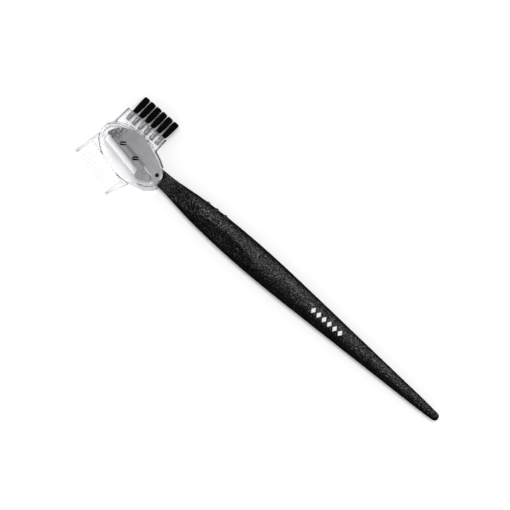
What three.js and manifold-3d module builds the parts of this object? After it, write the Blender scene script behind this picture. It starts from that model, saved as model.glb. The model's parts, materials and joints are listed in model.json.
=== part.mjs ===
// Brow brush and comb with a swinging steel plate. Millimetres, +Z up, lying flat on its belly.
// Sub-parts are drawn with the rivet's axis at X = 0, Y = 0: +X points to the head's far end,
// +Y to the comb, -Y to the brush. The outer group then moves the rivet to RIVET_AT.
import * as THREE from "three";
import { mergeVertices } from "three/addons/utils/BufferGeometryUtils.js";
import Module from "manifold-3d";

// Driving dimensions.
const RIVET_AT = [55, 0.75];

const HANDLE = { tail: -139.5, axisZ: 4.0, flatness: 0.74, sides: 48 }; // flatness: thickness over width
// Distance from the rivet along the handle, and half the width there.
const HANDLE_PROFILE = [
  [0.4, 3.15], [-3, 3.15], [-6.4, 3.3], [-12, 3.98], [-18, 4.66], [-24, 5.12], [-32, 5.52],
  [-42, 5.74], [-50, 5.72], [-62.6, 5.38], [-78, 4.64], [-96.4, 3.75], [-115, 2.88],
  [-130, 2.2], [-138, 1.62],
];
// The neck's top: level beside the head, to pass under the plate, then a ramp up to the belly.
// It is as high as this at the distance across from the rivet, and slopes down to the comb side.
const NECK = { level: 5.3, rampFrom: -7, rampTo: -22, rampHeight: 8, sag: 0.25, across: -2.5, slope: 0.09 };
// The finger rest: a long shallow flat on the belly, sloping down to the comb side.
const REST = { ends: [[-49.5, 7.97], [-20.5, 7.29]], middle: [-35, 6.71], across: 2, slope: 0.345 };
const RIBS = { first: -21.3, pitch: -4.05, count: 3, radius: 0.6, proud: 0.33, height: 3.0 };
const SOCKET = { centre: [2.81, 1.45], radius: 5.32 }; // hollow of the handle's front end

const OVAL = { centre: [12.07, 0.96], a: 15.56, b: 8.55, turn: -0.1143, low: 2.4, high: 5.0 };
const RECESS = { inset: 1.5, floor: 3.8 };
// Lower outer band of the rim, on the comb's side of the line from start to end.
const LIP = { inset: 0.8, outside: 0.5, high: 4.5, start: [-1.2, 4], end: [27.4, 1.5], reach: 30 };
const WINDOW = [[24.2, 2.66], [7.0, 5.53], [7.0, 2.0], [24.2, -1.15]];
const LEDGE = { start: [22.3, 2.98], end: [7.0, 5.53] }; // straight side of the recess
const RAISED_RIM = { thick: 0.5, high: 6.2, spans: [[0.9, 9], [18, 27.2]], side: [-12, -2.2] };
const FAR_WEB = {
  outer: [24.6, -10.5], bend: [25.0, -5.6], meets: [27.0, -2.2],
  inner: [[22, -3], [23.4, -10.5]],
};
const BOSS = { radius: 2.6, high: 5.3 };
const TANG = { length: 13, width: 3.6, low: 3.0, high: 4.4 };
const CHEEK = 3.4; // half the width of what is cut away beside the handle's end
const FIT = 0.15;

const BLOCK = {
  from: 5.6, to: 24.7, top: -12.2, low: 1.1, high: 7.1, round: 0.5,
  flare: 0.5, shoulder: -7, heel: -3, // the far side widens by flare down to the shoulder
  draft: 1.0, // the end beside the handle leans in by this much towards the table
  intoOval: 0.3, underPlate: 0.1, // overlap with the oval's wall, and what is cleared above it
};
const TUFT = {
  first: 22.26, pitch: 2.835, count: 6,
  rows: [5.35, 2.85],
  holeRadius: 0.75, holeDepth: 3.8,
  rootRadius: 0.68, rootDepth: 3.65,
  // The free part's radii and how far out they are; it starts beside the root by step.
  free: [[0.85, 0.4], [1.15, 3.6], [1.12, 6.7], [0.82, 7.4]],
  length: 7.4, lean: 0.5, step: 0.3,
  sides: 10,
};
const ANCHOR = { width: 1.15, height: 1.2, thick: 0.25, slack: 0.06 };

const COMB = {
  turn: -0.2496, // slope of the comb's root line
  root: 12.47, // root line's distance from the rivet, along the teeth
  low: 3.3, high: 4.7,
  teeth: 14, first: 6.46, last: 24.33, length: 7.4,
  toothRoot: 0.56, toothTip: 0.34, toothPoint: 0.2, toothInset: 0.35, // thinner than the spine
};
// The two long prongs beside the teeth, each from its root round its tip: along the root line,
// and beyond the teeth's tips.
const FAR_PRONG = { foot: [25.8, 7.35], tip: [[25.52, -0.5], [25.2, 0.2], [24.7, 0.1], [24.35, -0.6]] };
const NEAR_PRONG = { foot: [3.5, 10.97], tip: [[5.98, 0], [5.7, 0.25], [5.3, 0.05], [5.12, -0.6]] };
const COMB_HEEL = [[5.5, 6], [24, 5]]; // buried in the oval
const BEADS = { at: [[24.95, -0.35], [5.52, -0.25]], radius: 0.62, low: 3.2, high: 4.8 }; // prong tips

const PLATE = { low: 5.6, high: 6.1, hole: 0.65 };
const STRIP = { low: 5.3, high: 5.54, from: 20.8, to: 8.6, width: 3.3, proud: 0.08 };
const GROUND = { width: 2.1, depth: 0.12 }; // the band ground thinner along the straight edge
// The plate's straight edge: a quadratic curve through start and end, pulled towards bend.
const EDGE = { start: [23.9, 0.15], bend: [16, 0.95], end: [8.1, 2.8] };
const LOUVRES = {
  centres: [[17.4, -0.7], [10.3, 0.55]], turn: 0.66, length: 2.7, width: 1.5,
  bar: 0.3, barLength: 3.2, barLow: 5.8, barHigh: 6.3,
};
const RIVET = { shank: 0.6, head: 0.77, top: 6.5, tail: 1.1, bottom: 1.7, dimple: 0.34, dimpleDepth: 0.2 };
const WASHER = { bore: 0.68, radius: 2.1, low: 5.33, high: 5.57 };
const BACK_WASHER = { bore: 0.68, radius: 1.6, low: 2.05, high: 2.35 };

const WIDE = 50; // past every side of the tool
const ABOVE = 12; // above every piece

const COLOURS = {
  handle: [0x1c1c1d, 0.75, 0.0],
  clear: [0xf2f4f6, 0.08, 0.0],
  steel: [0x9c9aa0, 0.38, 1.0],
  rivet: [0x26262a, 0.4, 1.0],
  bristle: [0x0d0d0f, 0.6, 0.0],
  wire: [0xb9bcc0, 0.35, 1.0],
};

// Booleans.
const wasm = await Module();
wasm.setup();

function solidFrom(geometry) {
  const bare = geometry.clone();
  bare.deleteAttribute("normal");
  bare.deleteAttribute("uv");
  const merged = mergeVertices(bare, 1e-4);
  return new wasm.Manifold(
    new wasm.Mesh({
      numProp: 3,
      vertProperties: new Float32Array(merged.attributes.position.array),
      triVerts: new Uint32Array(merged.index.array),
    }),
  );
}

function geometryFrom(solid) {
  const mesh = solid.getMesh();
  const geometry = new THREE.BufferGeometry();
  geometry.setAttribute("position", new THREE.BufferAttribute(mesh.vertProperties, 3));
  geometry.setIndex(new THREE.BufferAttribute(mesh.triVerts, 1));
  geometry.computeVertexNormals();
  return geometry;
}

function named(name, geometry, look) {
  const [color, roughness, metalness] = COLOURS[look];
  const material = new THREE.MeshStandardMaterial({ color, roughness, metalness });
  if (look === "clear") {
    material.transparent = true;
    material.opacity = 0.35;
  }
  const mesh = new THREE.Mesh(geometry, material);
  mesh.name = name;
  return mesh;
}

// A flat shape made into a slab between two heights.
function slab(shape, low, high, curveSegments = 12) {
  const options = { depth: high - low, bevelEnabled: false, curveSegments };
  return solidFrom(new THREE.ExtrudeGeometry(shape, options).translate(0, 0, low));
}

function disc(x, y, radius, low, high, sides = 32) {
  const shape = new THREE.Shape().absarc(x, y, radius, 0, 2 * Math.PI, false);
  return slab(shape, low, high, sides / 2);
}

function polygon(points) {
  return new THREE.Shape(points.map(([x, y]) => new THREE.Vector2(x, y)));
}

function box(x0, x1, y0, y1, z0, z1) {
  const geometry = new THREE.BoxGeometry(x1 - x0, y1 - y0, z1 - z0);
  return solidFrom(geometry.translate((x0 + x1) / 2, (y0 + y1) / 2, (z0 + z1) / 2));
}

function ring({ bore, radius, low, high }) {
  return disc(0, 0, radius, low, high).subtract(disc(0, 0, bore, low - 1, high + 1, 20));
}

// A rectangle with round ends, turned about its own centre.
function capsule([x, y], turn, length, width) {
  const half = (length - width) / 2;
  const shape = new THREE.Shape();
  const end = (sign) => [x + sign * half * Math.cos(turn), y + sign * half * Math.sin(turn)];
  shape.absarc(...end(1), width / 2, turn - Math.PI / 2, turn + Math.PI / 2, false);
  shape.absarc(...end(-1), width / 2, turn + Math.PI / 2, turn + 1.5 * Math.PI, false);
  return shape;
}

// The handle: a long drop of oval section, flat under the belly, with ribs and a finger rest.
function handleWidth(samples) {
  const points = HANDLE_PROFILE.map(([x, half]) => new THREE.Vector2(x, half));
  return new THREE.SplineCurve(points).getPoints(samples);
}

function handle() {
  const [tailX, tailHalf] = HANDLE_PROFILE.at(-1);
  const profile = [new THREE.Vector2(0, HANDLE_PROFILE[0][0])];
  profile.push(...handleWidth(26).map((p) => new THREE.Vector2(p.y, p.x)));
  for (const angle of [0.5, 1.0]) {
    profile.push(
      new THREE.Vector2(tailHalf * Math.cos(angle), tailX + (HANDLE.tail - tailX) * Math.sin(angle)),
    );
  }
  profile.push(new THREE.Vector2(0, HANDLE.tail));
  const body = new THREE.LatheGeometry(profile.reverse(), HANDLE.sides);
  body.rotateZ(-Math.PI / 2).scale(1, 1, HANDLE.flatness);
  let solid = solidFrom(body.translate(0, 0, HANDLE.axisZ));

  const halfAt = (x) => handleWidth(80).find((p) => p.x <= x).y;
  for (let i = 0; i < RIBS.count; i++) {
    const x = RIBS.first + i * RIBS.pitch;
    const y = -halfAt(x) + RIBS.radius - RIBS.proud;
    const low = HANDLE.axisZ - RIBS.height / 2;
    solid = solid.add(disc(x, y, RIBS.radius, low, low + RIBS.height, 12));
  }
  solid = solid.subtract(aboveNeck()).subtract(aboveRest());
  solid = solid.subtract(box(-WIDE * 3, WIDE, -WIDE, WIDE, -WIDE, 0));
  solid = solid.subtract(disc(...SOCKET.centre, SOCKET.radius, -1, ABOVE, 48));
  const { length, width, low, high } = TANG;
  return solid.subtract(
    box(-length - FIT, 1, -width / 2 - FIT, width / 2 + FIT, low - FIT, high + FIT),
  );
}

function aboveNeck() {
  const { level, rampFrom, rampTo, rampHeight, sag } = NECK;
  const side = new THREE.Shape();
  side.moveTo(2, level);
  side.lineTo(rampFrom, level);
  side.quadraticCurveTo((rampFrom + rampTo) / 2, (level + rampHeight) / 2 - sag, rampTo, rampHeight);
  side.lineTo(rampTo, ABOVE);
  side.lineTo(2, ABOVE);
  return solidFrom(sloped(acrossTool(side), NECK));
}

function aboveRest() {
  const { ends, middle } = REST;
  const [far, near] = ends;
  const side = new THREE.Shape();
  side.moveTo(...far);
  side.quadraticCurveTo(...middle, ...near);
  side.lineTo(near[0], ABOVE);
  side.lineTo(far[0], ABOVE);
  return solidFrom(sloped(acrossTool(side), REST));
}

// Sheared down towards the comb side, about a line at the distance across from the rivet.
function sloped(geometry, { across, slope }) {
  const shear = new THREE.Matrix4().makeShear(0, 0, 0, -slope, 0, 0);
  return geometry.applyMatrix4(shear).translate(0, 0, slope * across);
}

// A side view, drawn in X and Z, made into a bar from side to side of the tool.
function acrossTool(side) {
  const options = { depth: 2 * WIDE, bevelEnabled: false, curveSegments: 12 };
  return new THREE.ExtrudeGeometry(side, options).rotateX(Math.PI / 2).translate(0, WIDE, 0);
}

// The clear head: oval tray, comb, brush block and the tang that goes into the handle.
function ovalShape(inset) {
  const [x, y] = OVAL.centre;
  const shape = new THREE.Shape();
  return shape.absellipse(x, y, OVAL.a - inset, OVAL.b - inset, 0, 2 * Math.PI, false, OVAL.turn);
}

function ovalSlab(inset, low, high) {
  return slab(ovalShape(inset), low, high, 28);
}

function trayRecess() {
  const { start, end } = LEDGE;
  const run = new THREE.Vector2(end[0] - start[0], end[1] - start[1]).multiplyScalar(2);
  const behind = polygon([
    [start[0] - run.x, start[1] - run.y],
    [start[0] + run.x, start[1] + run.y],
    [-WIDE, -WIDE],
    [WIDE, -WIDE],
  ]);
  return ovalSlab(RECESS.inset, RECESS.floor, ABOVE).intersect(slab(behind, RECESS.floor, ABOVE));
}

function raisedRim() {
  const { thick, high, spans, side } = RAISED_RIM;
  const wall = ovalSlab(0, OVAL.low, high).subtract(ovalSlab(thick, OVAL.low - 1, high + 1));
  const [near, far] = spans.map(([from, to]) => box(from, to, ...side, OVAL.low, high));
  return wall.intersect(near.add(far));
}

// The step down along the comb side of the rim.
function lipCut() {
  const { inset, outside, high, start, end, reach } = LIP;
  const band = ovalSlab(-outside, high, ABOVE).subtract(ovalSlab(inset, high - 1, ABOVE + 1));
  const combSide = polygon([start, end, [end[0] + reach, reach], [start[0] - reach, reach]]);
  return band.intersect(slab(combSide, high, ABOVE));
}

// The thin web that runs from the block's far side into the far end of the oval.
function farWeb() {
  const { outer, bend, meets, inner } = FAR_WEB;
  const web = new THREE.Shape();
  web.moveTo(...outer);
  web.quadraticCurveTo(...bend, ...meets);
  inner.forEach((point) => web.lineTo(...point));
  return slab(web, OVAL.low, OVAL.high, 8);
}

// Comb coordinates: u runs along the root line, w along the teeth.
function combPoint([u, w]) {
  const c = Math.cos(COMB.turn);
  const s = Math.sin(COMB.turn);
  return [u * c - w * s, u * s + w * c];
}

function comb() {
  const { root, low, high, first, last, length, toothPoint, toothInset } = COMB;
  const tip = root + length;
  const pastTip = ([u, w]) => [u, tip + w];
  const outline = [
    FAR_PRONG.foot, ...FAR_PRONG.tip.map(pastTip), [last, root],
    [first, root], ...NEAR_PRONG.tip.map(pastTip), NEAR_PRONG.foot, ...COMB_HEEL,
  ];
  let solid = slab(polygon(outline.map(combPoint)), low, high);
  const pitch = (last - first) / (COMB.teeth + 1);
  for (let i = 1; i <= COMB.teeth; i++) {
    const u = first + i * pitch;
    const a = COMB.toothRoot / 2;
    const b = COMB.toothTip / 2;
    const foot = root - 0.5;
    const side = tip - toothPoint;
    const tooth = [[u - a, foot], [u + a, foot], [u + b, side], [u, tip], [u - b, side]];
    solid = solid.add(slab(polygon(tooth.map(combPoint)), low + toothInset, high - toothInset));
  }
  for (const bead of BEADS.at) {
    solid = solid.add(disc(...combPoint(pastTip(bead)), BEADS.radius, BEADS.low, BEADS.high, 24));
  }
  return solid;
}

function tuftPlaces() {
  return TUFT.rows.flatMap((z, row) =>
    Array.from({ length: TUFT.count }, (_, i) => ({
      x: TUFT.first - i * TUFT.pitch,
      z,
      label: row + 1 + "_" + (i + 1),
    })),
  );
}

function brushBlock() {
  const { from, to, top, low, high, round, flare, shoulder, heel, draft, intoOval, underPlate } = BLOCK;
  const section = new THREE.Shape();
  section.moveTo(from + round, top);
  section.lineTo(to - round, top);
  section.quadraticCurveTo(to, top, to, top + round);
  section.lineTo(to + flare, shoulder);
  section.lineTo(to + flare, heel);
  section.lineTo(from, heel);
  section.lineTo(from, top + round);
  section.quadraticCurveTo(from, top, from + round, top);
  let solid = slab(section, low, high, 4);
  for (const { x, z } of tuftPlaces()) {
    const hole = new THREE.CylinderGeometry(TUFT.holeRadius, TUFT.holeRadius, TUFT.holeDepth + 1, TUFT.sides);
    solid = solid.subtract(solidFrom(hole.translate(x, top + TUFT.holeDepth / 2 - 0.5, z)));
  }
  const beforeEnd = polygon([[-WIDE, low], [from + draft, low], [from, high], [-WIDE, high]]);
  solid = solid.subtract(solidFrom(acrossTool(beforeEnd)));
  return solid.subtract(ovalSlab(intoOval, 0, ABOVE)).subtract(ovalSlab(-underPlate, OVAL.high, ABOVE));
}

function clearHead() {
  const { low, high } = OVAL;
  const neck = box(-WIDE, 1, -CHEEK, CHEEK, 0, ABOVE);
  const besideHandle = neck.subtract(disc(...SOCKET.centre, SOCKET.radius - FIT, -1, ABOVE + 1, 48));
  const window = slab(polygon(WINDOW), 0, ABOVE);
  let solid = ovalSlab(0, low, high).subtract(lipCut()).add(comb()).add(farWeb());
  solid = solid.subtract(trayRecess()).subtract(window);
  solid = solid.add(brushBlock()).add(raisedRim());
  solid = solid.add(disc(0, 0, BOSS.radius, low, BOSS.high)).subtract(besideHandle);
  solid = solid.add(box(-TANG.length, 0.5, -TANG.width / 2, TANG.width / 2, TANG.low, TANG.high));
  return solid.subtract(disc(0, 0, WASHER.bore, 0, ABOVE, 20));
}

// The steel plate: a half moon with a finger notch, a spring lobe and two lanced bridges.
function plateShape() {
  const shape = new THREE.Shape();
  shape.moveTo(24.62, -0.5);
  shape.quadraticCurveTo(24.6, 0.05, ...EDGE.start);
  shape.quadraticCurveTo(...EDGE.bend, ...EDGE.end);
  shape.bezierCurveTo(6.9, 3.1, 6.75, 4.0, 6.45, 5.2);
  shape.quadraticCurveTo(6.2, 5.95, 5.2, 5.97);
  shape.quadraticCurveTo(4.6, 5.95, 4.1, 5.4);
  shape.lineTo(1.4, 4.35);
  shape.quadraticCurveTo(0.8, 4.1, 1.0, 3.5);
  shape.lineTo(1.55, 2.18);
  shape.lineTo(5.4, 1.42);
  shape.absarc(5.4, 1.16, 0.26, Math.PI / 2, -Math.PI / 2, true);
  shape.lineTo(1.2, 1.66);
  shape.quadraticCurveTo(0.9, 2.6, 0.3, 2.75);
  shape.lineTo(-1.1, 3.17);
  shape.quadraticCurveTo(-1.9, 3.4, -1.95, 2.7);
  shape.quadraticCurveTo(-2.0, 0.4, -0.9, -1.1);
  shape.quadraticCurveTo(-0.6, -1.6, -0.14, -1.96);
  shape.splineThru(
    [[2.9, -4.09], [7.49, -5.9], [10.6, -6.85], [13.6, -7.38], [16.9, -7.1], [21.9, -4.65]]
      .concat([[24.2, -1.6], [24.62, -0.5]])
      .map(([x, y]) => new THREE.Vector2(x, y)),
  );
  return shape;
}

function edgeLine(x) {
  const t = (EDGE.start[0] - x) / (EDGE.start[0] - EDGE.end[0]);
  return (1 - t) ** 2 * EDGE.start[1] + 2 * t * (1 - t) * EDGE.bend[1] + t ** 2 * EDGE.end[1];
}

function alongEdge(from, to, outer, inner) {
  const steps = 6;
  const xs = Array.from({ length: steps + 1 }, (_, i) => from + ((to - from) * i) / steps);
  const near = xs.map((x) => [x, edgeLine(x) + outer]);
  const far = xs.map((x) => [x, edgeLine(x) - inner]).reverse();
  return polygon(near.concat(far));
}

function bladePlate() {
  const { low, high, hole } = PLATE;
  let solid = slab(plateShape(), low, high, 8).subtract(disc(0, 0, hole, low - 1, high + 1, 20));
  const ground = alongEdge(STRIP.from, STRIP.to, 1, GROUND.width);
  solid = solid.subtract(slab(ground, high - GROUND.depth, high + 1));
  const { centres, turn, bar, barLength, barLow, barHigh } = LOUVRES;
  for (const centre of centres) {
    const slot = capsule(centre, turn, LOUVRES.length, LOUVRES.width);
    solid = solid.subtract(slab(slot, low - 1, high + 1, 6));
    solid = solid.add(slab(capsule(centre, turn, barLength, bar), barLow, barHigh, 4));
  }
  return solid;
}

function edgeStrip() {
  const { low, high, from, to, width, proud } = STRIP;
  return slab(alongEdge(from, to, proud, width), low, high);
}

function pivotRivet() {
  const { shank, head, top, tail, bottom, dimple, dimpleDepth } = RIVET;
  const seat = PLATE.high + 0.05;
  const foot = BACK_WASHER.low - 0.04;
  const profile = [
    [0, bottom], [tail - 0.2, bottom], [tail, foot], [shank, foot], [shank, seat], [head, seat],
    [head, top - 0.15], [head - 0.15, top], [dimple, top], [dimple, top - dimpleDepth],
    [0, top - dimpleDepth],
  ];
  const points = profile.map(([r, z]) => new THREE.Vector2(r, z));
  return solidFrom(new THREE.LatheGeometry(points, 20).rotateX(Math.PI / 2));
}

// A tuft: its root fills a hole of the block, and its free part widens and leans back a little.
function tuft(x, z) {
  const { rootRadius, rootDepth, free, length, lean, step, sides } = TUFT;
  const profile = [
    [0, -rootDepth], [rootRadius, -rootDepth], [rootRadius, 0.05], ...free, [0, length],
  ];
  const geometry = new THREE.LatheGeometry(profile.map((p) => new THREE.Vector2(...p)), sides);
  const position = geometry.attributes.position;
  for (let i = 0; i < position.count; i++) {
    const out = Math.max(0, position.getY(i));
    const aside = (lean * out) / length + step * Math.min(1, out / free[0][1]);
    position.setX(i, position.getX(i) + aside);
  }
  geometry.rotateZ(Math.PI).translate(x, BLOCK.top, z);
  const slot = anchorBox(x, z, ANCHOR.slack);
  return solidFrom(geometry).subtract(slot);
}

// The flat wire that holds a tuft's fold at the bottom of its hole.
function anchorBox(x, z, slack) {
  const bottom = BLOCK.top + TUFT.rootDepth + slack;
  const w = ANCHOR.width / 2 + slack;
  const t = ANCHOR.thick / 2 + slack;
  return box(x - w, x + w, bottom - ANCHOR.height - 2 * slack, bottom, z - t, z + t);
}

// Assembly.
const frame = new THREE.Group();
frame.name = "frame";
frame.position.set(RIVET_AT[0], RIVET_AT[1], 0);

frame.add(named("handle", geometryFrom(handle()), "handle"));
frame.add(named("clear_head", geometryFrom(clearHead()), "clear"));
frame.add(named("pivot_rivet", geometryFrom(pivotRivet()), "rivet"));
frame.add(named("pivot_washer", geometryFrom(ring(WASHER)), "wire"));
frame.add(named("back_washer", geometryFrom(ring(BACK_WASHER)), "wire"));
for (const { x, z, label } of tuftPlaces()) {
  frame.add(named("tuft_" + label, geometryFrom(tuft(x, z)), "bristle"));
  frame.add(named("anchor_" + label, geometryFrom(anchorBox(x, z, 0)), "wire"));
}

const blade = new THREE.Group();
blade.name = "blade";
blade.add(named("blade_plate", geometryFrom(bladePlate()), "steel"));
blade.add(named("edge_strip", geometryFrom(edgeStrip()), "steel"));
frame.add(blade);

const root = new THREE.Group();
root.add(frame);
export default root;
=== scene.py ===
"""Brow tint brush and comb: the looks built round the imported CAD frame. Metres, row frame."""

import json
import math
import random

import bmesh
import bpy
import numpy as np
from mathutils import Matrix, Vector, noise
from mathutils.bvhtree import BVHTree
from mathutils.kdtree import KDTree


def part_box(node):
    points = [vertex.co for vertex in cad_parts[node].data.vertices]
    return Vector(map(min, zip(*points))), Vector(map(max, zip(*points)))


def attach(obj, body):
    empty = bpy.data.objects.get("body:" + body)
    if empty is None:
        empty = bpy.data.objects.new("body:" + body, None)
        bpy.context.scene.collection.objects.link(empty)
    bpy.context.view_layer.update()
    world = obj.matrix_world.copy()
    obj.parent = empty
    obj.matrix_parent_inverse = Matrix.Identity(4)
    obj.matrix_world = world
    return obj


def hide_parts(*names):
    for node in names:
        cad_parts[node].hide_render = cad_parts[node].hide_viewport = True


MM = 0.001
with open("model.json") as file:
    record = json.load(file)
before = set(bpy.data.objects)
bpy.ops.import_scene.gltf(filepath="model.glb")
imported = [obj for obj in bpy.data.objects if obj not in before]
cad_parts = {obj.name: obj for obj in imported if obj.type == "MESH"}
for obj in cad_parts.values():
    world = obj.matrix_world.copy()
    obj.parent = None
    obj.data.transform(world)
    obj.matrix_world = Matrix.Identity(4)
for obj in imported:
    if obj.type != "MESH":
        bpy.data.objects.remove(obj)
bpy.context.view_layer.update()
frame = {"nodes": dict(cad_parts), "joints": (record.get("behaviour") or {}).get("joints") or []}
RIVET = Vector(frame["joints"][0]["pos_m"])

# The camera looks straight down, and the handle runs to the lower right of the picture.
VIEW_UP = Vector((0.6558, -0.7550, 0.0))
VIEW_CENTRE = Vector((0.0078, -0.00075, 0.0045))
VIEW_WIDTH = 0.19125
VIEW_DISTANCE = 0.5
SENSOR = 36.0

# Tufts, in millimetres. A filament's stations run from its fold in the block to its tip.
FILAMENTS = 74
FILAMENT_SIDES = 6
FILAMENT_RADIUS = 0.078
FILAMENT_RANGE = (0.92, 1.06)  # thinnest and thickest, as a share of the radius
FILAMENT_STATIONS = (-3.5, -2.4, -1.0, -0.15, 0.5, 2.0, 3.8, 5.6, 6.8, 7.25, 7.4)
FILAMENT_TAPER = 0.16
FILAMENT_END = 0.45  # the rounded tip's radius as a share of the filament's
TUFT_ROOT = 0.59
TUFT_BELLY = 1.06
TUFT_MOUTH = {"from": -0.15, "over": 0.65, "share": 0.35}
TUFT_SPREAD = {"from": -0.3, "over": 3.6}
TUFT_ROWS = {"1": 6, "2": 6}
BLOCK_FACE = -12.2
BRISTLE_LENGTH = 7.4
BRISTLE_LEAN = 0.5
BRISTLE_STEP = 0.3
BRISTLE_STRAY = 0.09
BRISTLE_CROWN = 0.22  # how much shorter a tuft's outer filaments are than its middle ones
BRISTLE_UNEVEN = 0.15
HOLE_RADIUS = 0.75
HOLE_BOTTOM = -8.3
HOLE_MARGIN = 0.1
MOUTH_MARGIN = 0.08

SEED = 7
GOLDEN_ANGLE = 2.399963
ANGLE_JITTER = 0.12
WIRE_CLEARANCE = 0.24  # from the anchor's middle plane to a filament's axis
WIRE_REACH = -1.5  # filaments part round the anchor below this

# The comb's teeth: the slope and place of their root line, how far they reach along it, and
# half the width of the painted shade line along it.
COMB = {"turn": -0.2496, "root": 12.6, "from": 6.5, "to": 24.3, "line": 0.2}

# The oval of the clear head, and the width of the painted shade band along its sharp edges.
OVAL = {"centre": (12.07, 0.96), "a": 15.56, "b": 8.55, "turn": -0.1143}
EDGE_SHADE_BAND = 0.36

# Two arcs of the oval's walls, painted dark as a reflection of the handle's black, by their
# inset from the outline and their reach in X.
OUTER_ARC = {"inset": (-0.2, 0.28), "x": (-0.2, 6.2), "below_y": -2.9}
INNER_ARC = {"inset": (1.3, 1.72), "x": (-1.3, 4.2), "above_y": 3.9, "above_z": 3.7}

# Material slots of the clear head, in order, and how much light each clear one passes.
# The edge slot is painted shade along sharp edges, the dark slot a painted reflection.
FACES, BORES, TEETH, EDGES, DARK = range(5)
TINTS = {"clear_plastic": 0.63, "clear_teeth": 0.77, "clear_edge_shade": 0.55, "clear_dark_reflection": 0.01}
SHADOW_TINT = (0.84, 0.84, 0.845)

# Fine meshes: the voxel in millimetres, and the rounds of smoothing. The head is calmed further
# away from its teeth, and thinned to a share of its faces away from its sharp edges.
HANDLE_MESH = {"voxel": 0.222, "smoothing": 5}
HEAD_MESH = {"voxel": 0.12, "smoothing": 4}
HEAD_CALM = 9
HEAD_THIN = {"share": 0.33, "margin": 0.12}
SHARP = {"angle": 35, "step": 0.15}

# Marks on the plate, in millimetres from the rivet: painted shade and a painted highlight.
CREASE_SHADE = {
    "line": ((16.4, -1.1), (5.7, 0.55)), "width": 0.9,
    "near_end": (5.5, 6.5), "far_end": (15.6, 16.6),
}
RING_SHADE = {"centre": (4.5, 2.1), "radius": 0.9, "line": 0.16}
SLIT_HIGHLIGHT = {"line": ((5.4, 0.9), (1.2, 1.66)), "width": 0.32, "span": (1.0, 1.3, 5.4, 5.7)}
KNURL = {"from": (18.8, 20.6), "size": 1.3}
DIMPLE = 0.36

# Printed marks on the handle, in millimetres from the rivet.
MARKS = {
    "count": 6, "first": -77.2, "pitch": -2.62, "across": -0.2, "half_x": 0.95, "half_y": 1.3,
    "top": 0.055, "bottom": -0.02, "steps": 8,
}

# The handle's moulded grain: its coarse and fine heights, and the size of the coarse one.
PEBBLE = {"size": 0.5, "coarse": 0.055, "fine": 0.03, "fine_shift": (11.3, 4.1, 7.7)}

# Turned parts, in millimetres.
RIVET_HEAD = 0.77
RIVET_SHANK = 0.6
WASHER_BORE = 0.68
WASHER_EDGE = 0.05
RUNNING_GAP = 0.05
TAIL_GAP = 0.04
PLATE_THICKNESS = 0.5

# Area lights: azimuth and elevation in degrees, distance and size in metres, and radiance.
OVERHEAD = (-90, 81, 1.3, (0.8, 0.45), 11.0)
GLOSS_LIGHTS = {
    "card": (-90, 62, 1.3, (2.5, 2.5), 0.3),
    "strip": (-90, 62, 0.5, (0.05, 0.5), 16),
    "low": (-90, 22, 1.2, (2.0, 0.45), 0.8),
    "rim": (90, 10, 1.2, (2.0, 0.4), 0.15),
}
AMBIENT = 0.52
DIM_AMBIENT = 0.015  # what reflections and refractions see of the surroundings


def place(x, y, z=0.0):
    """A point given in millimetres from the rivet's axis and up from the table."""
    return Vector((RIVET.x + x * MM, RIVET.y + y * MM, z * MM))


def from_rivet(point):
    """The reverse of place: a point in millimetres from the rivet's axis and up from the table."""
    return (point - place(0, 0)) / MM


# ---------------------------------------------------------------- meshes


def object_from(name, vertices, faces, smooth=True):
    """A new mesh object in the scene."""
    mesh = bpy.data.meshes.new(name)
    mesh.from_pydata([tuple(v) for v in vertices], [], faces)
    mesh.validate()
    obj = bpy.data.objects.new(name, mesh)
    bpy.context.scene.collection.objects.link(obj)
    if smooth:
        mesh.polygons.foreach_set("use_smooth", [True] * len(mesh.polygons))
    return obj


def welded(node, name, merge):
    """A copy of a CAD node with its vertices welded and its flat triangles joined."""
    bm = bmesh.new()
    bm.from_mesh(frame["nodes"][node].data)
    bmesh.ops.remove_doubles(bm, verts=bm.verts, dist=merge * MM)
    bmesh.ops.dissolve_degenerate(bm, dist=0.001 * MM, edges=bm.edges)
    limit = math.radians(0.6)
    bmesh.ops.dissolve_limit(bm, angle_limit=limit, verts=bm.verts, edges=bm.edges)
    bmesh.ops.recalc_face_normals(bm, faces=bm.faces)
    mesh = bpy.data.meshes.new(name)
    bm.to_mesh(mesh)
    bm.free()
    obj = bpy.data.objects.new(name, mesh)
    bpy.context.scene.collection.objects.link(obj)
    return obj


def apply_modifiers(obj):
    """Makes an object's modifiers part of its mesh."""
    graph = bpy.context.evaluated_depsgraph_get()
    mesh = bpy.data.meshes.new_from_object(obj.evaluated_get(graph))
    obj.modifiers.clear()
    obj.data = mesh
    return obj


def softened(obj, width, segments=2, angle=32.0):
    """Rounds an object's sharp edges and shades the rest smooth."""
    bevel = obj.modifiers.new("edges", "BEVEL")
    bevel.width = width * MM
    bevel.segments = segments
    bevel.limit_method = "ANGLE"
    bevel.angle_limit = math.radians(angle)
    bevel.use_clamp_overlap = True
    weigh = obj.modifiers.new("weigh", "WEIGHTED_NORMAL")
    weigh.keep_sharp = False
    weigh.weight = 60
    obj.data.polygons.foreach_set("use_smooth", [True] * len(obj.data.polygons))
    return apply_modifiers(obj)


def shade_by_angle(obj, angle):
    """Shades a mesh smooth, apart from the edges past the angle in degrees."""
    mesh = obj.data
    mesh.polygons.foreach_set("use_smooth", [True] * len(mesh.polygons))
    bm = bmesh.new()
    bm.from_mesh(mesh)
    for edge in bm.edges:
        edge.smooth = len(edge.link_faces) == 2 and edge.calc_face_angle() < math.radians(angle)
    bm.to_mesh(mesh)
    bm.free()


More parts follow.
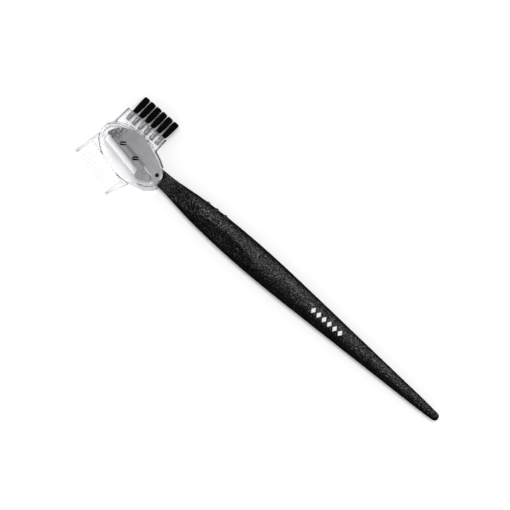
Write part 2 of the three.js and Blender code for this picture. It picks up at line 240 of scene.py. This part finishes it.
def turned(name, profile, centre, steps=64):
    """A solid of revolution about +Z. The profile is (radius, height) pairs in millimetres, and
    closes on itself if it starts off the axis."""
    rings, faces = [], []
    closed = profile[0][0] > 0
    for r, z in profile:
        if r <= 0:
            rings.append([Vector((0, 0, z))])
        else:
            turn = [2 * math.pi * k / steps for k in range(steps)]
            rings.append([Vector((r * math.cos(a), r * math.sin(a), z)) for a in turn])
    starts = np.cumsum([0] + [len(r) for r in rings]).tolist()
    pairs = list(zip(range(len(rings)), range(1, len(rings))))
    if closed:
        pairs.append((len(rings) - 1, 0))
    for a, b in pairs:
        for k in range(steps):
            n = (k + 1) % steps
            corners = [(a, k), (a, n), (b, n), (b, k)]
            face = [starts[ring] + i % len(rings[ring]) for ring, i in corners]
            faces.append(list(dict.fromkeys(face)))
    points = [centre + v * MM for ring in rings for v in ring]
    obj = object_from(name, points, faces)
    shade_by_angle(obj, 40)
    return obj


# ---------------------------------------------------------------- materials


class Shader:
    """A Principled material with small helpers for procedural inputs."""

    def __init__(self, name, **values):
        self.material = bpy.data.materials.new(name)
        self.material.use_nodes = True
        self.nodes = self.material.node_tree.nodes
        self.links = self.material.node_tree.links
        self.principled = self.nodes["Principled BSDF"]
        for key, value in values.items():
            self.principled.inputs[key.replace("_", " ")].default_value = value
        self.coordinates = self.nodes.new("ShaderNodeTexCoord")

    def mapped(self, scale, rotation=(0, 0, 0)):
        """Object coordinates, scaled so that 1 is the given number of millimetres."""
        node = self.nodes.new("ShaderNodeMapping")
        node.inputs["Scale"].default_value = [1 / (s * MM) for s in scale]
        node.inputs["Rotation"].default_value = rotation
        self.links.new(self.coordinates.outputs["Object"], node.inputs["Vector"])
        return node.outputs["Vector"]

    def noise(self, size, detail=3.0, rough=0.55, scale=(1, 1, 1), rotation=(0, 0, 0)):
        node = self.nodes.new("ShaderNodeTexNoise")
        node.inputs["Scale"].default_value = 1.0
        node.inputs["Detail"].default_value = detail
        node.inputs["Roughness"].default_value = rough
        vector = self.mapped([size * s for s in scale], rotation)
        self.links.new(vector, node.inputs["Vector"])
        return node.outputs["Fac"]

    def cells(self, size):
        node = self.nodes.new("ShaderNodeTexVoronoi")
        node.feature = "SMOOTH_F1"
        node.inputs["Scale"].default_value = 1.0
        self.links.new(self.mapped([size] * 3), node.inputs["Vector"])
        return node.outputs["Distance"]

    def facets(self, size):
        """A random value for each cell of the given size."""
        node = self.nodes.new("ShaderNodeTexVoronoi")
        node.inputs["Scale"].default_value = 1.0
        self.links.new(self.mapped([size] * 3), node.inputs["Vector"])
        split = self.nodes.new("ShaderNodeSeparateColor")
        self.links.new(node.outputs["Color"], split.inputs["Color"])
        return split.outputs["Red"]

    def math(self, operation, first, second=0.0):
        node = self.nodes.new("ShaderNodeMath")
        node.operation = operation
        for socket, value in zip(node.inputs, (first, second)):
            if isinstance(value, bpy.types.NodeSocket):
                self.links.new(value, socket)
            else:
                socket.default_value = value
        return node.outputs[0]

    def across(self, start, end):
        """Distance in millimetres to one side of a line, given in plan from the rivet."""
        start, end = place(*start), place(*end)
        side = Vector((start.y - end.y, end.x - start.x, 0)).normalized() / MM
        node = self.nodes.new("ShaderNodeVectorMath")
        node.operation = "DOT_PRODUCT"
        node.inputs[1].default_value = side
        self.links.new(self.coordinates.outputs["Object"], node.inputs[0])
        return self.math("SUBTRACT", node.outputs["Value"], start.dot(side))

    def from_axis(self, x, y):
        """Distance in millimetres from an upright axis, given in plan from the rivet."""
        node = self.nodes.new("ShaderNodeVectorMath")
        node.operation = "DISTANCE"
        flat = self.nodes.new("ShaderNodeVectorMath")
        flat.operation = "MULTIPLY"
        flat.inputs[1].default_value = (1 / MM, 1 / MM, 0)
        self.links.new(self.coordinates.outputs["Object"], flat.inputs[0])
        self.links.new(flat.outputs["Vector"], node.inputs[0])
        node.inputs[1].default_value = place(x, y) / MM
        return node.outputs["Value"]

    def near(self, value, centre, width):
        """1 where the value is at the centre, falling to 0 at the width from it."""
        distance = self.math("ABSOLUTE", self.math("SUBTRACT", value, centre))
        return self.remapped(distance, 0.0, width, 1.0, 0.0)

    def remapped(self, value, low, high, to_low, to_high):
        node = self.nodes.new("ShaderNodeMapRange")
        limits = {"From Min": low, "From Max": high, "To Min": to_low, "To Max": to_high}
        for key, limit in limits.items():
            node.inputs[key].default_value = limit
        self.links.new(value, node.inputs["Value"])
        return node.outputs["Result"]

    def mixed(self, factor, first, second):
        node = self.nodes.new("ShaderNodeMix")
        node.data_type = "RGBA"
        # Inputs 6 and 7 are the colour version's A and B.
        for socket, value in ((node.inputs[6], first), (node.inputs[7], second)):
            if isinstance(value, bpy.types.NodeSocket):
                self.links.new(value, socket)
            else:
                socket.default_value = (*value, 1)
        self.links.new(factor, node.inputs[0])
        return node.outputs[2]

    def to(self, key, value):
        self.links.new(value, self.principled.inputs[key])
        return self

    def lets_lamps_through(self, tint):
        """Shadow rays pass, so that clear plastic doesn't cast a solid's shadow."""
        path = self.nodes.new("ShaderNodeLightPath")
        clear = self.nodes.new("ShaderNodeBsdfTransparent")
        clear.inputs["Color"].default_value = (*tint, 1)
        mix = self.nodes.new("ShaderNodeMixShader")
        self.links.new(path.outputs["Is Shadow Ray"], mix.inputs[0])
        self.links.new(self.principled.outputs["BSDF"], mix.inputs[1])
        self.links.new(clear.outputs["BSDF"], mix.inputs[2])
        self.links.new(mix.outputs["Shader"], self.nodes["Material Output"].inputs["Surface"])
        return self

    def bump(self, height, strength, depth):
        """Adds a bump over any before it. The depth is in millimetres."""
        node = self.nodes.new("ShaderNodeBump")
        node.inputs["Strength"].default_value = strength
        node.inputs["Distance"].default_value = depth * MM
        self.links.new(height, node.inputs["Height"])
        last = self.principled.inputs["Normal"]
        if last.links:
            self.links.new(last.links[0].from_socket, node.inputs["Normal"])
        self.links.new(node.outputs["Normal"], last)
        return self


def grained_black():
    """Black moulding with a fine spark grain: every facet of it has a gloss of its own."""
    s = Shader("handle_black")
    facet = s.facets(0.32)
    grain = s.noise(0.3, detail=1)
    speck = s.remapped(s.noise(0.32, detail=1), 0.5, 0.68, 0.0, 1.0)
    s.to("Base Color", s.mixed(speck, (0.0006, 0.0006, 0.0006), (0.009, 0.0086, 0.0086)))
    spark = s.remapped(facet, 0.2, 0.9, 0.0, 0.85)
    sheen = s.remapped(grain, 0.35, 0.65, 0.0, 0.3)
    s.to("Specular IOR Level", s.math("ADD", spark, sheen))
    s.to("Roughness", s.remapped(s.noise(1.6, detail=4), 0.3, 0.7, 0.24, 0.29))
    return s.bump(s.cells(0.42), 1.0, 0.27).bump(grain, 0.6, 0.08).material


def clear_plastic(name):
    """Clear plastic that passes the share of light given for its name, and lets shadow rays by."""
    tint = TINTS[name]
    colour = (0.99 * tint, 0.993 * tint, tint, 1)
    s = Shader(name, Base_Color=colour, Transmission_Weight=1.0, IOR=1.47)
    s.to("Roughness", s.remapped(s.noise(3.0), 0.35, 0.7, 0.01, 0.04))
    s.bump(s.noise(5.0, detail=1), 0.12, 0.05)
    return s.lets_lamps_through(SHADOW_TINT).material


def bristle_bore():
    """The wall of a tuft's hole, seen through the clear block: bristles pressed against it, drawn
    in streaks of grey far lighter than black nylon, a painted glare.
    """
    s = Shader("bristle_bore", Specular_IOR_Level=0.2)
    streaks = s.noise(1.0, detail=3, scale=(0.3, 1.2, 0.3))
    share = s.remapped(streaks, 0.35, 0.65, 0, 1)
    # Painted glare: the black bristles are drawn in mid to light greys.
    s.to("Base Color", s.mixed(share, (0.09, 0.09, 0.094), (0.48, 0.48, 0.486)))
    return s.to("Roughness", s.remapped(streaks, 0.3, 0.7, 0.4, 0.6)).material


def brushed(s, dark, light):
    """Fine streaks along the tool with slow clouds over them: the tone, and the streaks."""
    streaks = s.noise(1.0, detail=4, scale=(5.0, 0.16, 0.16), rotation=(0, 0, 0.17))
    tone = s.mixed(s.remapped(streaks, 0.35, 0.65, 0, 1), dark, light)
    cloud = s.noise(4.5, detail=2)
    return s.mixed(s.remapped(cloud, 0.35, 0.65, 0.0, 0.35), tone, [0.8 * c for c in dark]), streaks


def brushed_steel(name, dark, light, rough):
    """Plain brushed steel between two tones."""
    s = Shader(name, Metallic=1.0)
    tone, streaks = brushed(s, dark, light)
    s.to("Base Color", tone)
    s.to("Roughness", s.remapped(streaks, 0.3, 0.7, rough - 0.06, rough + 0.08))
    return s.bump(streaks, 0.35, 0.02).material


def half_moon_steel():
    """The plate's steel: painted shade along a pressed crease inside its straight edge, a stamped
    ring beside the slit and a knurled tip's grooves, and a painted highlight on the slit's edge."""
    dark, light = (0.33, 0.322, 0.34), (0.42, 0.413, 0.435)
    shade, bright = (0.10, 0.095, 0.1), (0.95, 0.95, 0.95)
    s = Shader("brushed_steel", Metallic=1.0)
    tone, streaks = brushed(s, dark, light)
    split = s.nodes.new("ShaderNodeSeparateXYZ")
    s.links.new(s.coordinates.outputs["Object"], split.inputs["Vector"])
    along = s.math("DIVIDE", s.math("SUBTRACT", split.outputs["X"], RIVET.x), MM)

    # Painted shade along the pressed crease, the stamped ring's line and the knurl's grooves.
    crease_shade = s.near(s.across(*CREASE_SHADE["line"]), 0.0, CREASE_SHADE["width"])
    crease_shade = s.math("MULTIPLY", crease_shade, s.remapped(along, *CREASE_SHADE["near_end"], 0, 1))
    crease_shade = s.math("MULTIPLY", crease_shade, s.remapped(along, *CREASE_SHADE["far_end"], 1, 0))
    ring = s.near(s.from_axis(*RING_SHADE["centre"]), RING_SHADE["radius"], RING_SHADE["line"])
    tip = s.remapped(along, *KNURL["from"], 0.0, 1.0)
    knurl = s.math("MULTIPLY", tip, s.near(s.cells(KNURL["size"]), 0.42, 0.16))
    # Painted highlight along the slit's edge, mixed in as near-white.
    slit_highlight = s.near(s.across(*SLIT_HIGHLIGHT["line"]), 0.0, SLIT_HIGHLIGHT["width"])
    slit_highlight = s.math("MULTIPLY", slit_highlight, s.remapped(along, *SLIT_HIGHLIGHT["span"][:2], 0, 1))
    slit_highlight = s.math("MULTIPLY", slit_highlight, s.remapped(along, *SLIT_HIGHLIGHT["span"][2:], 1, 0))

    # These marks darken the tone towards the painted shade colour; the whole tip is a little
    # darker.
    for mark, strength in ((crease_shade, 0.6), (ring, 0.9), (knurl, 0.8), (tip, 0.15)):
        tone = s.mixed(s.math("MULTIPLY", mark, strength), tone, shade)
    s.to("Base Color", s.mixed(slit_highlight, tone, bright))
    s.to("Roughness", s.remapped(streaks, 0.3, 0.7, 0.3, 0.44))
    return s.bump(streaks, 0.35, 0.02).bump(knurl, 0.6, 0.08).material


def dark_rivet():
    """Blackened steel, lighter in the dimple of the head."""
    s = Shader("rivet_dark", Metallic=0.85)
    cloud = s.noise(0.5)
    tone = s.mixed(s.remapped(cloud, 0.35, 0.7, 0, 1), (0.006, 0.006, 0.006), (0.02, 0.019, 0.02))
    s.to("Base Color", s.mixed(s.near(s.from_axis(0, 0), 0.0, DIMPLE), tone, (0.02, 0.019, 0.018)))
    return s.to("Roughness", s.remapped(cloud, 0.3, 0.7, 0.3, 0.5)).material


def nylon():
    """Black nylon filaments with a faint cloud in their tone."""
    s = Shader("bristle_black", Specular_IOR_Level=0.1)
    cloud = s.noise(0.6)
    s.to("Base Color", s.mixed(cloud, (0.001, 0.001, 0.0011), (0.004, 0.004, 0.0043)))
    return s.to("Roughness", s.remapped(cloud, 0.3, 0.7, 0.38, 0.52)).material


def white_ink():
    """Slightly uneven white printing ink."""
    s = Shader("print_white", Specular_IOR_Level=0.3)
    cloud = s.noise(0.3)
    s.to("Base Color", s.mixed(cloud, (0.62, 0.62, 0.62), (0.78, 0.78, 0.78)))
    return s.to("Roughness", s.remapped(cloud, 0.3, 0.7, 0.5, 0.65)).material


def white_table():
    """Matt white, even all over."""
    colour = (0.9, 0.9, 0.905, 1)
    return Shader("table", Base_Color=colour, Roughness=0.85, Specular_IOR_Level=0.2).material


# ---------------------------------------------------------------- pieces


def dress(obj, body, slot, material, *nodes):
    """Gives a piece its material and its body, and hides the CAD nodes it stands for; the slot is
    not used.
    """
    if not obj.data.materials:
        obj.data.materials.append(material)
    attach(obj, body)
    if nodes:
        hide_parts(*nodes)
    return obj


def pebbled(point):
    """Height of the moulded grain at a point, in metres."""
    p = point / (PEBBLE["size"] * MM)
    coarse = noise.noise(p)
    fine = noise.noise(p * 2.0 + Vector(PEBBLE["fine_shift"]))
    return (PEBBLE["coarse"] * coarse + PEBBLE["fine"] * fine) * MM


def handle_grip():
    """The CAD handle remeshed finely, its facets smoothed away, with the moulded grain raised on
    it. Also returns a tree of the plain surface under the grain."""
    obj = remeshed(welded("handle", "handle_grip", merge=0.002), **HANDLE_MESH)
    plain = BVHTree.FromPolygons(
        [v.co.copy() for v in obj.data.vertices], [p.vertices[:] for p in obj.data.polygons]
    )
    low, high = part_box("handle")
    for v, n in zip(obj.data.vertices, [v.normal.copy() for v in obj.data.vertices]):
        v.co += n * pebbled(v.co)
        v.co.z = min(max(v.co.z, low.z), high.z)
    obj.data.polygons.foreach_set("use_smooth", [True] * len(obj.data.polygons))
    return obj, plain


def printed_marks(surface):
    """A row of plain diamonds printed across the handle, as thin closed patches on its surface."""
    steps = MARKS["steps"]
    row = steps + 1
    vertices, faces = [], []
    for m in range(MARKS["count"]):
        centre_x = MARKS["first"] + m * MARKS["pitch"]
        base = len(vertices)
        for lift in (MARKS["top"], MARKS["bottom"]):
            for i in range(row):
                for j in range(row):
                    a = 2 * i / steps - 1
                    b = 2 * j / steps - 1
                    x = centre_x + MARKS["half_x"] * (a + b) / 2
                    y = MARKS["across"] + MARKS["half_y"] * (a - b) / 2
                    start = place(x, y, 20)
                    hit, normal, _, _ = surface.ray_cast(start, Vector((0, 0, -1)))
                    vertices.append(hit + normal * lift * MM)
        layer = row**2
        for i in range(steps):
            for j in range(steps):
                corner = i * row + j
                patch = [corner, corner + 1, corner + row + 1, corner + row]
                faces.append([base + k for k in patch])
                faces.append([base + layer + k for k in reversed(patch)])
        rim = [i * row for i in range(row)]
        rim += [steps * row + j for j in range(1, row)]
        rim += [i * row + steps for i in range(steps - 1, -1, -1)]
        rim += list(range(steps - 1, 0, -1))
        for k, n in zip(rim, rim[1:] + rim[:1]):
            faces.append([base + k, base + layer + k, base + layer + n, base + n])
    obj = object_from("printed_marks", vertices, faces)
    bm = bmesh.new()
    bm.from_mesh(obj.data)
    bmesh.ops.recalc_face_normals(bm, faces=bm.faces)
    bm.to_mesh(obj.data)
    bm.free()
    return obj


def tuft_axes():
    """Each tuft's label with its root centre, from the CAD anchors."""
    for row, count in TUFT_ROWS.items():
        for i in range(1, count + 1):
            low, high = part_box(f"anchor_{row}_{i}")
            yield f"{row}_{i}", (low + high) / 2


def remeshed(obj, voxel, smoothing):
    """Rebuilds an object as an even fine mesh and rounds its edges. The voxel is in millimetres."""
    remesh = obj.modifiers.new("remesh", "REMESH")
    remesh.mode = "VOXEL"
    remesh.voxel_size = voxel * MM
    remesh.adaptivity = 0.0
    smooth = obj.modifiers.new("smooth", "SMOOTH")
    smooth.factor = 0.5
    smooth.iterations = smoothing
    apply_modifiers(obj)
    obj.data.polygons.foreach_set("use_smooth", [True] * len(obj.data.polygons))
    return obj


def grouped(obj, chosen):
    """A vertex group of the vertices whose places are chosen."""
    group = obj.vertex_groups.new(name="chosen")
    group.add([v.index for v in obj.data.vertices if chosen(v.co)], 1.0, "REPLACE")
    return group.name


def calmed(obj, smoothing, chosen):
    """Smooths the chosen part of a mesh further."""
    smooth = obj.modifiers.new("calm", "SMOOTH")
    smooth.factor = 0.5
    smooth.iterations = smoothing
    smooth.vertex_group = grouped(obj, chosen)
    apply_modifiers(obj)
    obj.vertex_groups.clear()
    return obj


def thinned(obj, ratio, chosen):
    """Thins the chosen part of a mesh."""
    thin = obj.modifiers.new("thin", "DECIMATE")
    thin.ratio = ratio
    thin.vertex_group = grouped(obj, chosen)
    apply_modifiers(obj)
    obj.vertex_groups.clear()
    return obj


def sharp_edges(obj, angle, step):
    """A tree of points, a step apart in millimetres, along an object's sharp edges."""
    bm = bmesh.new()
    bm.from_mesh(obj.data)
    points = []
    for edge in bm.edges:
        if len(edge.link_faces) == 2 and edge.calc_face_angle() > math.radians(angle):
            start, end = edge.verts[0].co, edge.verts[1].co
            count = max(1, math.ceil((end - start).length / (step * MM)))
            points += [start.lerp(end, k / count) for k in range(count + 1)]
    bm.free()
    tree = KDTree(len(points))
    for i, point in enumerate(points):
        tree.insert(point, i)
    tree.balance()
    return tree


def inside_oval(x, y):
    """How far in millimetres a point, in plan from the rivet, lies inside the oval's outline."""
    dx, dy = x - OVAL["centre"][0], y - OVAL["centre"][1]
    c, s = math.cos(OVAL["turn"]), math.sin(OVAL["turn"])
    u, v = (dx * c + dy * s) / OVAL["a"], (dy * c - dx * s) / OVAL["b"]
    level = math.hypot(u, v)
    slope = math.hypot(u / OVAL["a"], v / OVAL["b"]) / level
    return (1 - level) / slope


def in_dark_arc(x, y, z):
    """The two arcs beside the handle's end, painted dark as a reflection of its black in the walls.
    """
    inset = inside_oval(x, y)

    def within(arc):
        return arc["inset"][0] < inset < arc["inset"][1] and arc["x"][0] < x < arc["x"][1]

    outer = within(OUTER_ARC) and y < OUTER_ARC["below_y"]
    inner = within(INNER_ARC) and y > INNER_ARC["above_y"] and z > INNER_ARC["above_z"]
    return outer or inner


def comb_place(point):
    """How far in millimetres a point lies along the comb's root line, and out to its teeth."""
    slope = Vector((math.cos(COMB["turn"]), math.sin(COMB["turn"]), 0))
    outward = Vector((-slope.y, slope.x, 0))
    return from_rivet(point).dot(slope), from_rivet(point).dot(outward)


def clear_head(materials):
    """The clear moulding, with a slot each for faces, tuft holes, teeth, edges and dark arcs: the
    edges with painted shade, the arcs with a painted reflection of the handle's black.
    """
    sharp = welded("clear_head", "clear_moulding", merge=0.002)
    edges = sharp_edges(sharp, SHARP["angle"], SHARP["step"])
    obj = remeshed(sharp, **HEAD_MESH)
    calmed(obj, HEAD_CALM, lambda point: comb_place(point)[1] < COMB["root"])
    plain_from = (EDGE_SHADE_BAND + HEAD_THIN["margin"]) * MM
    thinned(obj, HEAD_THIN["share"], lambda point: edges.find(point)[2] > plain_from)
    mesh = obj.data
    for m in materials:
        mesh.materials.append(m)
    axes = [c for _, c in tuft_axes()]
    mouth = place(0, BLOCK_FACE + MOUTH_MARGIN).y
    bottom = place(0, HOLE_BOTTOM).y
    reach = ((HOLE_RADIUS + HOLE_MARGIN) * MM) ** 2
    for p in mesh.polygons:
        c = p.center
        along, out = comb_place(c)
        by_teeth = COMB["from"] < along < COMB["to"]
        if mouth < c.y < bottom and min((c.x - a.x) ** 2 + (c.z - a.z) ** 2 for a in axes) < reach:
            p.material_index = BORES
        # The root line and the sharp edges take the edge slot, a painted shade.
        elif by_teeth and abs(out - COMB["root"]) < COMB["line"]:
            p.material_index = EDGES
        elif by_teeth and out > COMB["root"]:
            p.material_index = TEETH
        # The arcs take the dark slot, a painted reflection of the handle's black.
        elif in_dark_arc(*from_rivet(c)):
            p.material_index = DARK
        elif edges.find(c)[2] < EDGE_SHADE_BAND * MM:
            p.material_index = EDGES
        elif out > COMB["root"]:
            p.material_index = TEETH
        else:
            p.material_index = FACES
    return obj


def eased(value):
    """0 below 0, 1 above 1, and a smooth rise between."""
    v = min(1.0, max(0.0, value))
    return v * v * (3 - 2 * v)


def filament_path(rng, index, axis_x, axis_z):
    """Points in millimetres from the rivet, from the fold in the block to the free tip."""
    share = math.sqrt((index + 0.5) / FILAMENTS)
    turn = index * GOLDEN_ANGLE + rng.uniform(-ANGLE_JITTER, ANGLE_JITTER)
    off_x = share * math.cos(turn)
    off_z = share * math.sin(turn)
    stray_x = rng.gauss(0, BRISTLE_STRAY)
    stray_z = rng.gauss(0, BRISTLE_STRAY)
    end = BRISTLE_LENGTH - BRISTLE_CROWN * share**4 - rng.uniform(0.0, BRISTLE_UNEVEN)
    points = []
    for s in FILAMENT_STATIONS:
        out = s * end / BRISTLE_LENGTH if s > 0 else s
        free = max(0.0, out) / BRISTLE_LENGTH
        mouth = eased((out - TUFT_MOUTH["from"]) / TUFT_MOUTH["over"])
        spread = eased((out - TUFT_SPREAD["from"]) / TUFT_SPREAD["over"])
        widening = TUFT_MOUTH["share"] * mouth + (1 - TUFT_MOUTH["share"]) * spread
        radius = TUFT_ROOT + (TUFT_BELLY - TUFT_ROOT) * widening
        x = axis_x + radius * off_x + stray_x * free - BRISTLE_STEP * mouth - BRISTLE_LEAN * free
        z_off = radius * off_z + stray_z * free
        if s < WIRE_REACH:
            z_off = math.copysign(max(abs(z_off), WIRE_CLEARANCE), z_off)
        points.append((x, BLOCK_FACE - out, axis_z + z_off))
    return points


def tuft(label, root, rng):
    """One bundle of filaments, each a tapered six-sided rod with a rounded tip."""
    sides = FILAMENT_SIDES
    axis_x = (root.x - RIVET.x) / MM
    axis_z = root.z / MM
    vertices, faces = [], []
    for index in range(FILAMENTS):
        path = filament_path(rng, index, axis_x, axis_z)
        base = len(vertices)
        radius = FILAMENT_RADIUS * rng.uniform(*FILAMENT_RANGE)
        for k, (x, y, z) in enumerate(path):
            free = max(0.0, BLOCK_FACE - y) / BRISTLE_LENGTH
            r = radius * (1 - FILAMENT_TAPER * free)
            if k == len(path) - 1:
                r *= FILAMENT_END
            for a in range(sides):
                turn = 2 * math.pi * a / sides
                vertices.append(place(x + r * math.cos(turn), y, z + r * math.sin(turn)))
        for k in range(len(path) - 1):
            for a in range(sides):
                n = (a + 1) % sides
                low = base + k * sides
                faces.append([low + a, low + n, low + sides + n, low + sides + a])
        faces.append([base + a for a in reversed(range(sides))])
        faces.append([base + (len(path) - 1) * sides + a for a in range(sides)])
    return object_from(f"bristles_{label}", vertices, faces)


def anchor_wire(label):
    """The flat wire in a tuft's fold, with rounded edges."""
    obj = welded(f"anchor_{label}", f"wire_{label}", merge=0.001)
    softened(obj, width=0.07, segments=3)
    return obj


def rivet():
    """The rivet, with a dimpled head over the plate and a formed tail under the back washer."""
    low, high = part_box("pivot_rivet")
    head, shank = RIVET_HEAD, RIVET_SHANK
    top = high.z / MM
    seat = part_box("blade_plate")[0].z / MM + PLATE_THICKNESS + RUNNING_GAP
    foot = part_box("back_washer")[0].z / MM - TAIL_GAP
    bottom = low.z / MM
    tail = (high.x - low.x) / MM / 2
    profile = [
        (0, bottom + 0.1), (0.45, bottom + 0.1), (0.62, bottom), (tail - 0.2, bottom + 0.02),
        (tail - 0.05, bottom + 0.1), (tail, foot - 0.08), (tail - 0.03, foot), (shank, foot),
        (shank, seat), (head - 0.04, seat), (head, seat + 0.05), (head, seat + 0.16),
        (head - 0.05, seat + 0.26), (head - 0.14, top - 0.03), (head - 0.24, top),
        (0.40, top), (0.36, top - 0.03), (0.32, top - 0.1), (0.26, top - 0.16), (0.14, top - 0.185),
        (0, top - 0.19),
    ]
    return turned("rivet_body", profile, Vector((RIVET.x, RIVET.y, 0)))


def washer(node, name):
    """A washer with broken edges, to the size of its CAD node."""
    low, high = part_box(node)
    outer = (high.x - low.x) / MM / 2
    bore, e = WASHER_BORE, WASHER_EDGE
    z0, z1 = low.z / MM, high.z / MM
    profile = [
        (bore, z0 + e), (bore + e, z0), (outer - e, z0), (outer, z0 + e),
        (outer, z1 - e), (outer - e, z1), (bore + e, z1), (bore, z1 - e),
    ]
    return turned(name, profile, Vector((RIVET.x, RIVET.y, 0)))


# ---------------------------------------------------------------- stage


def camera():
    """Looks straight down on the tool."""
    data = bpy.data.cameras.new("camera")
    data.sensor_width = SENSOR
    data.lens = SENSOR * VIEW_DISTANCE / VIEW_WIDTH
    data.clip_start = 0.01
    data.clip_end = 10
    obj = bpy.data.objects.new("camera", data)
    bpy.context.scene.collection.objects.link(obj)
    back = Vector((0, 0, 1))
    right = VIEW_UP.cross(back).normalized()
    up = back.cross(right)
    turn = Matrix((right, up, back)).transposed()
    obj.matrix_world = Matrix.Translation(VIEW_CENTRE + back * VIEW_DISTANCE) @ turn.to_4x4()
    bpy.context.scene.camera = obj


def softbox(name, azimuth, elevation, distance, size, radiance):
    """An area light, wide by high, that faces the tool. Azimuth 0 is +X, 90 is +Y."""
    data = bpy.data.lights.new(name, "AREA")
    data.shape = "RECTANGLE"
    data.size, data.size_y = size
    data.energy = radiance * math.pi * size[0] * size[1]
    obj = bpy.data.objects.new(name, data)
    bpy.context.scene.collection.objects.link(obj)
    a, e = math.radians(azimuth), math.radians(elevation)
    away = Vector((math.cos(a) * math.cos(e), math.sin(a) * math.cos(e), math.sin(e)))
    obj.location = VIEW_CENTRE + away * distance
    obj.rotation_mode = "QUATERNION"
    obj.rotation_quaternion = away.to_track_quat("Z", "Y")
    obj.visible_camera = False
    return obj


def lights():
    """An overhead softbox lights the table, and the others are seen only in gloss."""
    softbox("overhead", *OVERHEAD).visible_glossy = False
    for name, values in GLOSS_LIGHTS.items():
        softbox(name, *values).visible_diffuse = False


def surroundings():
    """An even white world, dim for reflected and refracted rays that haven't met a matt surface."""
    world = bpy.data.worlds.new("studio")
    world.use_nodes = True
    nodes, links = world.node_tree.nodes, world.node_tree.links
    path = nodes.new("ShaderNodeLightPath")
    strength = nodes.new("ShaderNodeMapRange")
    strength.inputs["To Min"].default_value = AMBIENT
    strength.inputs["To Max"].default_value = DIM_AMBIENT
    either = nodes.new("ShaderNodeMath")
    either.operation = "MAXIMUM"
    links.new(path.outputs["Is Glossy Ray"], either.inputs[0])
    links.new(path.outputs["Is Transmission Ray"], either.inputs[1])
    dim = nodes.new("ShaderNodeMath")
    dim.operation = "GREATER_THAN"
    links.new(either.outputs[0], dim.inputs[0])
    links.new(path.outputs["Diffuse Depth"], dim.inputs[1])
    links.new(dim.outputs[0], strength.inputs["Value"])
    background = nodes["Background"]
    background.inputs["Color"].default_value = (0.98, 0.985, 1.0, 1)
    links.new(strength.outputs["Result"], background.inputs["Strength"])
    bpy.context.scene.world = world
    bpy.context.scene.view_settings.view_transform = "Standard"


def table():
    """The white surface that the tool lies on."""
    half = 3.0
    corners = [(-half, -half, 0), (half, -half, 0), (half, half, 0), (-half, half, 0)]
    obj = object_from("table", corners, [[0, 1, 2, 3]], smooth=False)
    obj.data.materials.append(white_table())
    obj.visible_glossy = False


# ---------------------------------------------------------------- assembly


def build():
    """The stage, and then each piece with its material on its body."""
    camera()
    lights()
    surroundings()
    table()

    grip, surface = handle_grip()
    dress(grip, "tool", "handle_black", grained_black(), "handle")
    dress(printed_marks(surface), "tool", "print_white", white_ink())

    clear = [clear_plastic("clear_plastic"), bristle_bore()]
    clear += [clear_plastic(name) for name in ("clear_teeth", "clear_edge_shade", "clear_dark_reflection")]
    dress(clear_head(clear), "tool", "clear_plastic", clear[FACES], "clear_head")

    plate = softened(welded("blade_plate", "half_moon_plate", merge=0.01), width=0.06)
    dress(plate, "blade", "brushed_steel", half_moon_steel(), "blade_plate")
    # The strip is near-black so the slots over it read dark: a dark sheet for painted shade.
    slot_shade_steel = brushed_steel("edge_steel", (0.008, 0.008, 0.01), (0.02, 0.02, 0.022), rough=0.3)
    strip = softened(welded("edge_strip", "razor_strip", merge=0.01), width=0.05)
    dress(strip, "blade", "edge_steel", slot_shade_steel, "edge_strip")

    wire = brushed_steel("bright_wire", (0.5, 0.5, 0.51), (0.66, 0.66, 0.67), rough=0.3)
    dress(rivet(), "tool", "rivet_dark", dark_rivet(), "pivot_rivet")
    dress(washer("pivot_washer", "washer_top"), "tool", "bright_wire", wire, "pivot_washer")
    dress(washer("back_washer", "washer_back"), "tool", "bright_wire", wire, "back_washer")

    black = nylon()
    rng = random.Random(SEED)
    for label, root in tuft_axes():
        dress(tuft(label, root, rng), "tool", "bristle_black", black, f"tuft_{label}")
        dress(anchor_wire(label), "tool", "bright_wire", wire, f"anchor_{label}")


build()
